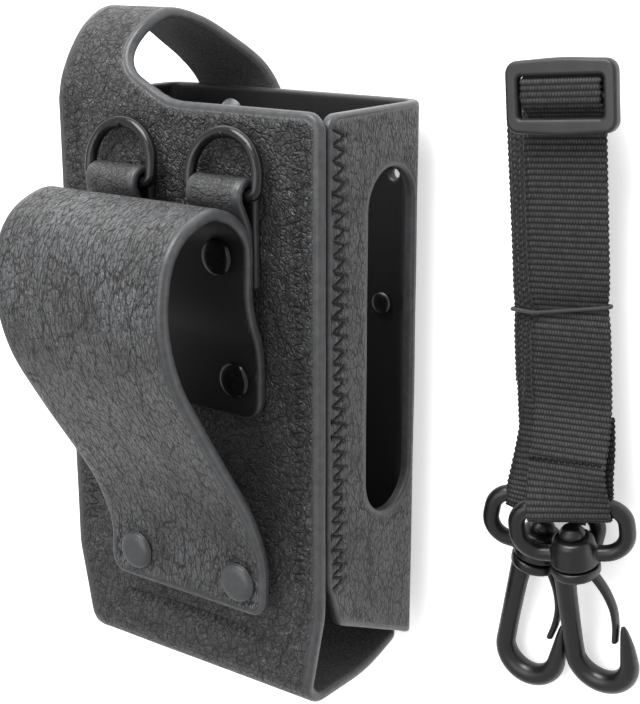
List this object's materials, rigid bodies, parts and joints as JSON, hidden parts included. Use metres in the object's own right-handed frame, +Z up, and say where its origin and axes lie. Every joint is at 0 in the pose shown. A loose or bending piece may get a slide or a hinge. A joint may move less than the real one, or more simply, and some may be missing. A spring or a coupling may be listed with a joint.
{
  "type": "two-way radio holster",
  "caption": "Leather radio holster lying on its front: snap-down belt loop, sprung top strap, D-rings, open bottom sling, and a folded shoulder strap with swivel hooks.",
  "frame": {"origin": "middle of the bounding box at its base, the surface the holster lies on", "axes": "+Y along the holster towards its open mouth, +Z up out of its back and belt loop, +X towards the shoulder strap"},
  "size_m": [0.1486, 0.1726, 0.0889],
  "materials": {
    "black_leather": "pebbled grain, satin",
    "lining": "smooth, matte",
    "painted_wire": "gloss black paint",
    "snap_paint": "satin dark grey paint",
    "bright_steel": "bright plate",
    "black_plastic": "satin",
    "webbing": "woven, ribbed",
    "elastic": "thin elastic cord"
  },
  "bodies": {
    "case": {"back_panel": "black_leather", "back_lining": "lining", "corner_strip_left": "lining", "corner_strip_right": "lining", "front_side_wrap": "black_leather", "belt_loop_base": "black_leather", "d_ring_tab_left": "black_leather", "d_ring_tab_right": "black_leather", "upper_rivet_left": "painted_wire", "upper_rivet_right": "painted_wire", "lower_rivet_left": "painted_wire", "lower_rivet_right": "painted_wire", "tongue_rivet_left": "snap_paint", "tongue_rivet_right": "snap_paint", "front_rivet_left": "bright_steel", "front_rivet_right": "bright_steel", "rim_stud": "bright_steel", "belt_snap_stud_left": "bright_steel", "belt_snap_stud_right": "bright_steel", "belt_snap_post_left": "bright_steel", "belt_snap_post_right": "bright_steel", "top_snap_stud": "bright_steel", "top_snap_post": "bright_steel"},
    "belt_flap": {"belt_loop_flap": "black_leather", "belt_snap_cap_left": "snap_paint", "belt_snap_cap_right": "snap_paint", "belt_snap_socket_left": "bright_steel", "belt_snap_socket_right": "bright_steel"},
    "top_strap": {"top_strap": "black_leather", "top_snap_cap": "snap_paint", "top_snap_socket": "bright_steel"},
    "d_ring_left": {"d_ring_left": "painted_wire"},
    "d_ring_right": {"d_ring_right": "painted_wire"},
    "strap": {"strap_webbing": "webbing", "strap_tie": "elastic"},
    "slider": {"strap_slider": "black_plastic", "slider_turn": "webbing"},
    "upper_eye": {"upper_hook_eye": "black_plastic"},
    "upper_hook": {"upper_hook_body": "black_plastic"},
    "upper_gate": {"upper_hook_gate": "black_plastic"},
    "lower_eye": {"lower_hook_eye": "black_plastic"},
    "lower_hook": {"lower_hook_body": "black_plastic"},
    "lower_gate": {"lower_hook_gate": "black_plastic"}
  },
  "joints": [
    {"name": "belt_flap_open", "type": "hinge", "parent": "case", "child": "belt_flap", "pos_m": [-0.03233, 0.04509, 0.07067], "axis": [-1, 0, 0], "range_deg": [0, 110]},
    {"name": "top_strap_open", "type": "hinge", "parent": "case", "child": "top_strap", "pos_m": [-0.03233, 0.07772, 0.04489], "axis": [1, 0, 0], "range_deg": [0, 110]},
    {"name": "d_ring_left_swing", "type": "hinge", "parent": "case", "child": "d_ring_left", "pos_m": [-0.04883, 0.0457, 0.0552], "axis": [1, 0, 0], "range_deg": [0, 75]},
    {"name": "d_ring_right_swing", "type": "hinge", "parent": "case", "child": "d_ring_right", "pos_m": [-0.01583, 0.0457, 0.0552], "axis": [1, 0, 0], "range_deg": [0, 75]},
    {"name": "strap_lift", "type": "slide", "parent": "case", "child": "strap", "axis": [0, 0, 1], "range_m": [0, 0.15]},
    {"name": "slider_slide", "type": "slide", "parent": "strap", "child": "slider", "axis": [0.0802, -0.9968, 0], "range_m": [0, 0.03]},
    {"name": "upper_eye_swing", "type": "hinge", "parent": "strap", "child": "upper_eye", "pos_m": [0.058, -0.02924, 0.0148], "axis": [-0.9388, -0.1145, 0.3249], "range_deg": [0, 60]},
    {"name": "upper_hook_swivel", "type": "hinge", "parent": "upper_eye", "child": "upper_hook", "pos_m": [0.058, -0.02924, 0.0148], "axis": [0.0434, -0.975, -0.218], "range_deg": [0, 90]},
    {"name": "upper_gate_open", "type": "hinge", "parent": "upper_hook", "child": "upper_gate", "pos_m": [0.06374, -0.04813, 0.01049], "axis": [-0.0175, 0.2174, -0.9759], "range_deg": [0, 18], "stiffness_Nm_per_rad": 0.02, "springref_deg": -14.32},
    {"name": "lower_eye_swing", "type": "hinge", "parent": "strap", "child": "lower_eye", "pos_m": [0.04892, -0.03238, 0.0077], "axis": [0.9212, -0.1749, -0.3476], "range_deg": [0, 60]},
    {"name": "lower_hook_swivel", "type": "hinge", "parent": "lower_eye", "child": "lower_hook", "pos_m": [0.04892, -0.03238, 0.0077], "axis": [-0.215, -0.9733, -0.08], "range_deg": [0, 60]},
    {"name": "lower_gate_open", "type": "hinge", "parent": "lower_hook", "child": "lower_gate", "pos_m": [0.04949, -0.0525, 0.00601], "axis": [-0.0067, 0.0834, -0.9965], "range_deg": [0, 18], "stiffness_Nm_per_rad": 0.02, "springref_deg": -14.32}
  ]
}
